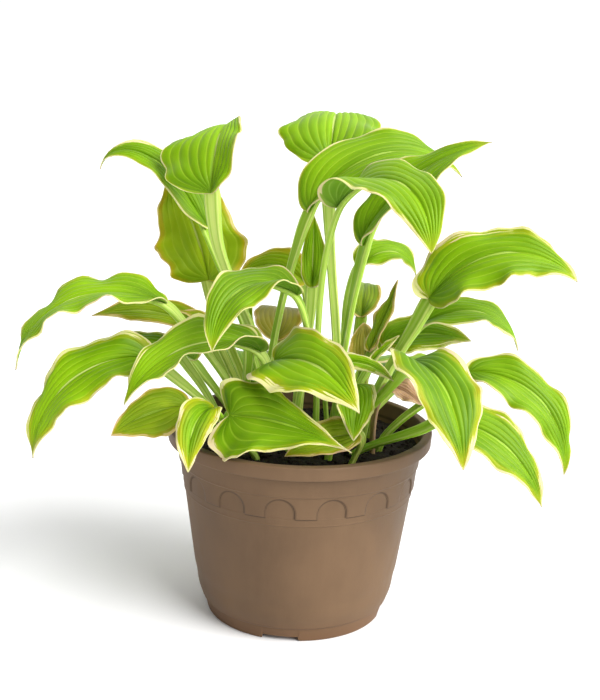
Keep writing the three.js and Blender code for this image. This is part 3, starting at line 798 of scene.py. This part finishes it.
# From the foot to the base of the blade in an arch, then below the midrib
def stalkRoute(leaf, midrib):
    f = stalkForm
    base = Vector(leaf["base"])
    foot = Vector((*leaf["foot"], f["soilTop"] - f["depth"]))
    above = foot + Vector((0, 0, f["upright"] * (base.z - foot.z)))
    arrive = (frameAt(leaf, 0)[0] + Vector((0, 0, f["steeper"]))).normalized()
    before = base - arrive * f["towardsBlade"] * (base - foot).length
    points = []
    for i in range(5):
        s = i / 5
        r = 1 - s
        points.append(foot * r ** 3 + above * 3 * r * r * s + before * 3 * r * s * s + base * s ** 3)
    for t in (0, 0.13, 0.26, 0.4, 0.55, f["fadesAt"]):
        place, (along, upper, left) = midrib.at(t)
        radius = ribRadius(leaf, t)
        sunk = 0.55 * radius if t == 0 else 0.8 * radius - 0.1
        points.append(place - upper * sunk)
    return smoothPath(points, f["stations"])


def ribRadius(leaf, t):
    return max(stalkForm["thinnest"], leaf["stalk"] * max(0, 1 - t / stalkForm["fadesAt"]) ** 1.2)


def addStalk(shape, layers, leaf, midrib):
    f = stalkForm
    route = stalkRoute(leaf, midrib)
    last = len(route) - 1
    lengths = [0.0]
    for before, after in zip(route, route[1:]):
        lengths.append(lengths[-1] + (after - before).length)
    ribStart = lengths[-1] - f["fadesAt"] * leaf["length"]
    normals = [None] * (last + 1)
    normal = frameAt(leaf, 0)[1]
    for i in range(last, -1, -1):
        ahead = (route[min(i + 1, last)] - route[max(i - 1, 0)]).normalized()
        t = (lengths[i] - ribStart) / leaf["length"]
        normal = midrib.at(t)[1][1] if t > 0 else normal
        normal = (normal - ahead * normal.dot(ahead)).normalized()
        normals[i] = (normal, ahead.cross(normal))
    known = set(shape.faces)
    tube = bmesh.ops.create_grid(shape, x_segments=last, y_segments=f["sides"], size=0.5)["verts"]
    grooveFrom, grooveOver = f["grooveStarts"]
    for vert in tube:
        i = round((vert.co.x + 0.5) * last)
        angle = math.tau * vert.co.y
        fromBase = lengths[i] - ribStart
        climbed = min(1, lengths[i] / ribStart)
        plain = ribRadius(leaf, max(0, fromBase / leaf["length"]))
        radius = plain * (1 - f["slimmer"] * math.sin(math.pi * climbed))
        groove = f["groove"] * min(1, max(0, lengths[i] - grooveFrom) / grooveOver)
        section = 1 - groove * math.exp(-(angle / f["grooveWidth"]) ** 2)
        wing = math.exp(-(fromBase / f["wingLength"][0 if fromBase < 0 else 1]) ** 2)
        breadth = 1 + (f["broad"] - 1) * min(1, 1.3 * plain / leaf["stalk"]) + f["wing"] * wing
        normal, across = normals[i]
        vert[layers["around"]] = abs(vert.co.y) * 2
        vert[layers["along"]] = climbed
        offset = normal * math.cos(angle) * section + across * math.sin(angle) * breadth
        vert.co = route[i] + offset * radius
    bmesh.ops.remove_doubles(shape, verts=tube, dist=0.002)
    walls = [face for face in shape.faces if face not in known]
    rims = [edge for face in walls for edge in face.edges if edge.is_boundary]
    bmesh.ops.holes_fill(shape, edges=list(set(rims)), sides=0)
    body = [face for face in shape.faces if face not in known]
    bmesh.ops.recalc_face_normals(shape, faces=body)
    for face in body:
        face.material_index = 2


def finishPiece(shape, name, materials, nodes, sharpAngle=45):
    mesh = bpy.data.meshes.new(name)
    for vert in shape.verts:
        vert.co *= mm
    for face in shape.faces:
        face.smooth = True
    shape.to_mesh(mesh)
    shape.free()
    for material in materials:
        mesh.materials.append(material)
    mesh.set_sharp_from_angle(angle=math.radians(sharpAngle))
    piece = bpy.data.objects.new(name, mesh)
    scene.collection.objects.link(piece)
    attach(piece, "root")
    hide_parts(*nodes)
    return piece


def addLeaf(name, leaf, number):
    midrib = Midrib(leaf)
    shape = bmesh.new()
    traits = ("edge", "border", "veins", "along", "around", "tone", "yellow")
    layers = {trait: shape.verts.layers.float.new(trait) for trait in traits}
    addBlade(shape, layers, leaf, midrib, number * 2.4)
    addStalk(shape, layers, leaf, midrib)
    # Painted shade: the darkening value lowers the tone of leaves that the key light catches too brightly
    tone = random.Random(number).uniform(-1, 1) - leaf["paintedShade"]
    for vert in shape.verts:
        vert[layers["tone"]] = tone
        vert[layers["yellow"]] = leaf["yellow"]
    finishPiece(shape, "hosta_" + name, leafMaterials[leaf["kind"]], ["leaf_" + name])


for number, (name, own) in enumerate(leaves.items()):
    addLeaf(name, {**leafUsual, **own}, number)
print("leaves built:", len(leaves))


# Pot

potForm = {
    "height": 145, "lipRadius": 99, "lipHeight": 11, "footRadius": 67, "footHeight": 11, "wall": 2,
    "floorTop": 7, "collarBottom": 103, "collarTop": 119, "collarGround": 86.9, "relief": 0.9,
    "flare": 1.5, "arches": 15, "archWidth": 21, "archHeight": 14.5, "frontArch": -98,
    "notches": 4, "notchWidth": 27, "notchHeight": 3.5, "notchInner": 43, "drainRadius": 4.5, "drainAt": 51,
    "turns": 600, "fineBand": (99, 121), "fineStep": 0.55, "outside": 85,   # where the reliefs need it
}


# Rounds each (radius, height, fillet) corner of a profile with a short arc
def filleted(corners, steps=4):
    points = []
    for i, (radius, height, fillet) in enumerate(corners):
        here = Vector((radius, height))
        if fillet == 0 or i in (0, len(corners) - 1):
            points.append(here)
            continue
        before = Vector(corners[i - 1][:2]) - here
        after = Vector(corners[i + 1][:2]) - here
        reach = min(fillet, 0.45 * before.length, 0.45 * after.length)
        start = here + before.normalized() * reach
        end = here + after.normalized() * reach
        for k in range(steps + 1):
            s = k / steps
            points.append(start * (1 - s) ** 2 + here * 2 * s * (1 - s) + end * s * s)
    return points


def densified(points):
    low, high = potForm["fineBand"]
    dense = [points[0]]
    for before, after in zip(points, points[1:]):
        count = 1
        if low < (before.y + after.y) / 2 < high and before.x > potForm["outside"]:
            count = max(1, math.ceil((after - before).length / potForm["fineStep"]))
        dense += [before.lerp(after, (k + 1) / count) for k in range(count)]
    return dense


def potProfile():
    f = potForm
    ground, lip = f["collarGround"], f["lipRadius"]
    raised = ground + f["relief"]
    low, high = f["collarBottom"], f["collarTop"]
    lipBottom = f["height"] - f["lipHeight"]
    corners = [
        (0, 0, 0), (20, 0, 0), (f["notchInner"] - 0.5, 0, 0), (f["notchInner"], 0, 0), (55, 0, 0),
        (f["footRadius"], 0, 1.2), (69.5, f["footHeight"] - 0.4, 0.8), (71, f["footHeight"] + 0.4, 0.8),
        (74.4, 21, 4), (75.7, 31, 4), (77.5, 38.5, 4), (83, 78, 0), (85.55, 96.3, 0.6), (86.3, 97, 0.5),
        (86.2, 98.2, 0.5), (ground, low - 0.5, 0.3), (raised, low, 0.4), (raised + f["flare"], high, 0.5),
        (90.4, high + 0.9, 0.6), (90.3, high + 2.2, 0.6), (92.3, lipBottom, 1.2),
        (lip - 0.6, lipBottom + 0.6, 1.5), (lip, f["height"] - 0.2, 1.5), (92.6, f["height"], 1.2),
        (ground - f["wall"], low, 0), (77.2 - f["wall"], 36, 1), (69, f["footHeight"] + 2, 2),
        (65, f["floorTop"], 2), (0, f["floorTop"], 0),
    ]
    return densified(filleted(corners))


# How far inside an arch a point of the collar is, in mm, with x along the pot's surface
def insideArch(x, up):
    half = potForm["archWidth"] / 2
    spring = potForm["archHeight"] - half
    if up < spring:
        return half - abs(x)
    return half - math.hypot(x, up - spring)


def shapeCollar(vert, paintedCreaseShade):
    f = potForm
    radius = math.hypot(vert.co.x, vert.co.y)
    if radius < f["outside"] or not f["fineBand"][0] < vert.co.z < f["collarTop"]:
        return
    pitch = 360 / f["arches"]
    turn = math.degrees(math.atan2(vert.co.y, vert.co.x)) - f["frontArch"]
    x = math.radians((turn + pitch / 2) % pitch - pitch / 2) * f["collarGround"]
    up = vert.co.z - f["collarBottom"]
    inside = insideArch(x, up)
    share = min(1, max(0, inside / 0.55 + 0.5))
    share *= min(1, max(0, (up + 0.5) / 0.5))
    vert.co.xy *= 1 - f["relief"] * share / radius
    # Painted shade: a dark line along each arch's edge and along the collar's lower step, where the
    # recessed walls lie in shade
    if up > 0:
        vert[paintedCreaseShade] = math.exp(-((inside - 0.2) / 0.55) ** 2)
    elif inside < 0:
        vert[paintedCreaseShade] = math.exp(-((up + 0.5) / 0.5) ** 2)


def shapeNotches(vert):
    f = potForm
    if vert.co.z >= f["notchHeight"]:
        return
    pitch = 360 / f["notches"]
    radius = math.hypot(vert.co.x, vert.co.y)
    turn = math.degrees(math.atan2(vert.co.y, vert.co.x)) - f["frontArch"]
    x = math.radians((turn + pitch / 2) % pitch - pitch / 2)
    if radius > f["notchInner"] - 0.1 and abs(radius * math.sin(x)) < f["notchWidth"] / 2:
        vert.co.z = f["notchHeight"]


def lathe(profile, turns):
    shape = bmesh.new()
    verts = [shape.verts.new((point.x, 0, point.y)) for point in profile]
    edges = [shape.edges.new(pair) for pair in zip(verts, verts[1:])]
    bmesh.ops.spin(
        shape, geom=verts + edges, axis=(0, 0, 1), angle=math.tau, steps=turns, use_merge=True)
    bmesh.ops.remove_doubles(shape, verts=shape.verts, dist=0.001)
    bmesh.ops.recalc_face_normals(shape, faces=shape.faces)
    return shape


def drillDrains(piece):
    f = potForm
    radius = f["drainRadius"] * mm
    drills = bmesh.new()
    for i in range(f["notches"]):
        turn = math.radians(f["frontArch"] + 360 * i / f["notches"])
        drill = bmesh.ops.create_cone(
            drills, cap_ends=True, segments=40, radius1=radius, radius2=radius,
            depth=3 * f["floorTop"] * mm)["verts"]
        place = Vector((math.cos(turn), math.sin(turn), 0)) * f["drainAt"] * mm
        bmesh.ops.translate(drills, verts=drill, vec=place + Vector((0, 0, f["floorTop"] * mm)))
    drillMesh = bpy.data.meshes.new("drills")
    drills.to_mesh(drillMesh)
    drills.free()
    drillObject = bpy.data.objects.new("drills", drillMesh)
    scene.collection.objects.link(drillObject)
    cut = piece.modifiers.new("drains", "BOOLEAN")
    cut.operation = "DIFFERENCE"
    cut.solver = "EXACT"
    cut.object = drillObject
    whole = piece.evaluated_get(bpy.context.evaluated_depsgraph_get())
    drained = bpy.data.meshes.new_from_object(whole)
    piece.modifiers.remove(cut)
    piece.data = drained
    bpy.data.objects.remove(drillObject)
    bpy.data.meshes.remove(drillMesh)


potFinish = {
    "body": ((95, 73, 52), (108, 84, 61)),
    "drawn": (126, 102, 78), "drawnShare": 0.14,                  # faint streaks up the wall
    "foot": (112, 74, 44), "footShare": 0.3, "footFade": (3, 20), # mm, as all heights here
    "lip": (82, 62, 42), "lipShare": 0.25, "lipFade": (137, 145.5),
    "specks": (84, 64, 48), "speckShare": 0.06,
    # Painted shade: the colour of the dark lines in the arch recesses, at the collar step and under the lip
    "paintedCreaseShade": (48, 35, 24), "paintedCreaseShadeShare": 0.7,
    "lipShadowAndHeelLines": ((133.5, 1.8, 1.0), (11.5, 0.8, 0.4)),           # height, width and share of each: a painted shadow line under the lip, and a darker line at the heel step
    "sheen": 0.22, "bump": 0.25, "bumpDepth": 0.3,
}


def potPlastic():
    f = potFinish
    material, tree, shader = newMaterial("potPlastic")
    place = addNode(tree, "ShaderNodeTexCoord").outputs["Object"]
    height = addNode(tree, "ShaderNodeSeparateXYZ", {0: place}).outputs["Z"]
    stretch = addNode(tree, "ShaderNodeMapping", {"Vector": place, "Scale": (1, 1, 0.25)}).outputs["Vector"]
    clouds = noiseOf(tree, place, 14.0, 4.0)
    drawn = noiseOf(tree, stretch, 120.0, 3.0, 0.6)
    grain = noiseOf(tree, place, 1500.0, 2.0)
    specks = ease(tree, noiseOf(tree, place, 420.0, 2.0), 0.66, 0.72)
    # Painted shade along the arch edges and the collar step
    paintedCreaseShade = attributeOf(tree, "paintedCreaseShade")
    # A painted shadow line under the lip and a darker line at the heel step, joined to the painted crease
    # shade
    for level, width, share in f["lipShadowAndHeelLines"]:
        away = maths(tree, "ABSOLUTE", maths(tree, "SUBTRACT", height, level * mm))
        paintedCreaseShade = maths(tree, "MAXIMUM", paintedCreaseShade, ease(tree, away, 0.0, width * mm, share, 0.0))
    footLow, footHigh = f["footFade"]
    lipLow, lipHigh = f["lipFade"]
    tones = (
        ("drawn", ease(tree, drawn, 0.35, 0.75, 0.0, f["drawnShare"])),
        ("foot", ease(tree, height, footLow * mm, footHigh * mm, f["footShare"], 0.0)),
        ("lip", ease(tree, height, lipLow * mm, lipHigh * mm, 0.0, f["lipShare"])),
        ("specks", times(tree, specks, f["speckShare"])),
        ("paintedCreaseShade", times(tree, paintedCreaseShade, f["paintedCreaseShadeShare"])),
    )
    body = blendColour(tree, ease(tree, clouds, 0.3, 0.7), *(colour(*tone) for tone in f["body"]))
    for name, share in tones:
        body = blendColour(tree, share, body, colour(*f[name]))
    tree.links.new(body, shader.inputs["Base Color"])
    rough = plus(tree, ease(tree, clouds, 0.3, 0.7, 0.5, 0.6), ease(tree, drawn, 0.4, 0.8, 0.0, 0.12))
    tree.links.new(rough, shader.inputs["Roughness"])
    relief = plus(tree, times(tree, grain, 0.5), drawn)
    tree.links.new(bumpFrom(tree, relief, f["bump"], f["bumpDepth"] * mm), shader.inputs["Normal"])
    shader.inputs["Specular IOR Level"].default_value = f["sheen"]
    return material


def addPot():
    shape = lathe(potProfile(), potForm["turns"])
    # Holds the painted shade for the arch edges and the collar step
    paintedCreaseShade = shape.verts.layers.float.new("paintedCreaseShade")
    for vert in shape.verts:
        shapeCollar(vert, paintedCreaseShade)
        shapeNotches(vert)
    piece = finishPiece(shape, "nursery_pot", [potPlastic()], ["pot"], 50)
    drillDrains(piece)


addPot()
print("pot built")


# Soil

soilForm = {
    "top": 130, "crown": 4, "lump": 1.6, "clod": 1.5, "turns": 300, "rings": 62,
    "wall": ((84.9, 103), (92.6, 145)),               # radius and height, the pot's inside
    "bottom": ((0, 7.4), (64.6, 7.4), (68.5, 13.3), (74.8, 36)),
    "gap": 0.5, "holeGap": 0.3,                       # mm to the pot and around a stalk
    "crumbs": 700, "crumbSize": (0.6, 2.4), "crumbSink": 0.3,
    "crumbStretch": ((0.7, 1.5), (0.7, 1.3), (0.5, 0.9)), "crumbDents": (0.75, 1.25),
}

soilFinish = {
    "dark": (18, 13, 11), "light": (44, 33, 26), "fibre": (84, 60, 42), "fibreShare": 0.5,
    "sheen": 0.25, "bump": 0.9, "bumpDepth": 1.2,     # mm
}


def soilHeight(x, y, inward):
    lumps = math.sin(x / 11 + 1) * math.cos(y / 9) + math.sin((x - y) / 17)
    height = soilForm["top"] + soilForm["lump"] * lumps * min(1, 4 * inward) + soilForm["crown"] * inward
    spot = Vector((x / 7, y / 7, 3.1))
    height += soilForm["clod"] * noise.fractal(spot, 0.9, 2.2, 5)
    return height


def soilEarth():
    f = soilFinish
    material, tree, shader = newMaterial("pottingSoil")
    place = addNode(tree, "ShaderNodeTexCoord").outputs["Object"]
    clods = noiseOf(tree, place, 260.0, 5.0, 0.65)
    fibres = noiseOf(tree, place, 900.0, 3.0, 0.7)
    earth = blendColour(tree, ease(tree, clods, 0.35, 0.7), colour(*f["dark"]), colour(*f["light"]))
    fibreShare = ease(tree, fibres, 0.62, 0.74, 0.0, f["fibreShare"])
    earth = blendColour(tree, fibreShare, earth, colour(*f["fibre"]))
    tree.links.new(earth, shader.inputs["Base Color"])
    tree.links.new(ease(tree, clods, 0.3, 0.7, 0.75, 0.95), shader.inputs["Roughness"])
    relief = plus(tree, clods, times(tree, fibres, 0.5))
    tree.links.new(bumpFrom(tree, relief, f["bump"], f["bumpDepth"] * mm), shader.inputs["Normal"])
    shader.inputs["Specular IOR Level"].default_value = f["sheen"]
    return material


def addSoil():
    f = soilForm
    lower, upper = (Vector(point) for point in f["wall"])
    rim = lower.lerp(upper, (f["top"] - lower.y) / (upper.y - lower.y)).x - f["gap"]
    side = [*f["bottom"], (lower.x - f["gap"], lower.y), (rim, f["top"])]
    profile = [Vector(point) for point in side]
    profile += [Vector((rim * (1 - i / f["rings"]), f["top"])) for i in range(1, f["rings"] + 1)]
    shape = lathe(profile, f["turns"])
    feet = [(Vector(leaf["foot"]), {**leafUsual, **leaf}["stalk"]) for leaf in leaves.values()]
    for vert in shape.verts:
        if vert.co.z < f["top"] - 0.01:
            continue
        inward = 1 - math.hypot(vert.co.x, vert.co.y) / rim
        vert.co.z = soilHeight(vert.co.x, vert.co.y, inward)
        for foot, radius in feet:
            if (vert.co.xy - foot).length < radius * stalkForm["broad"] + f["holeGap"]:
                vert.co.z = f["top"] - stalkForm["depth"] - f["holeGap"]
    draw = random.Random(7)
    for _ in range(f["crumbs"]):
        turn = draw.uniform(0, math.tau)
        out = rim * math.sqrt(draw.uniform(0, 0.96))
        x, y = out * math.cos(turn), out * math.sin(turn)
        size = draw.uniform(*f["crumbSize"]) * draw.uniform(0.4, 1)
        crumb = bmesh.ops.create_icosphere(shape, subdivisions=1, radius=size)["verts"]
        stretch = Vector([draw.uniform(*limits) for limits in f["crumbStretch"]])
        place = Vector((x, y, soilHeight(x, y, 1 - out / rim) + f["crumbSink"] * size))
        for vert in crumb:
            vert.co = place + vert.co * stretch * draw.uniform(*f["crumbDents"])
    finishPiece(shape, "potting_soil", [soilEarth()], ["soil"], 60)


addSoil()
print("soil built")
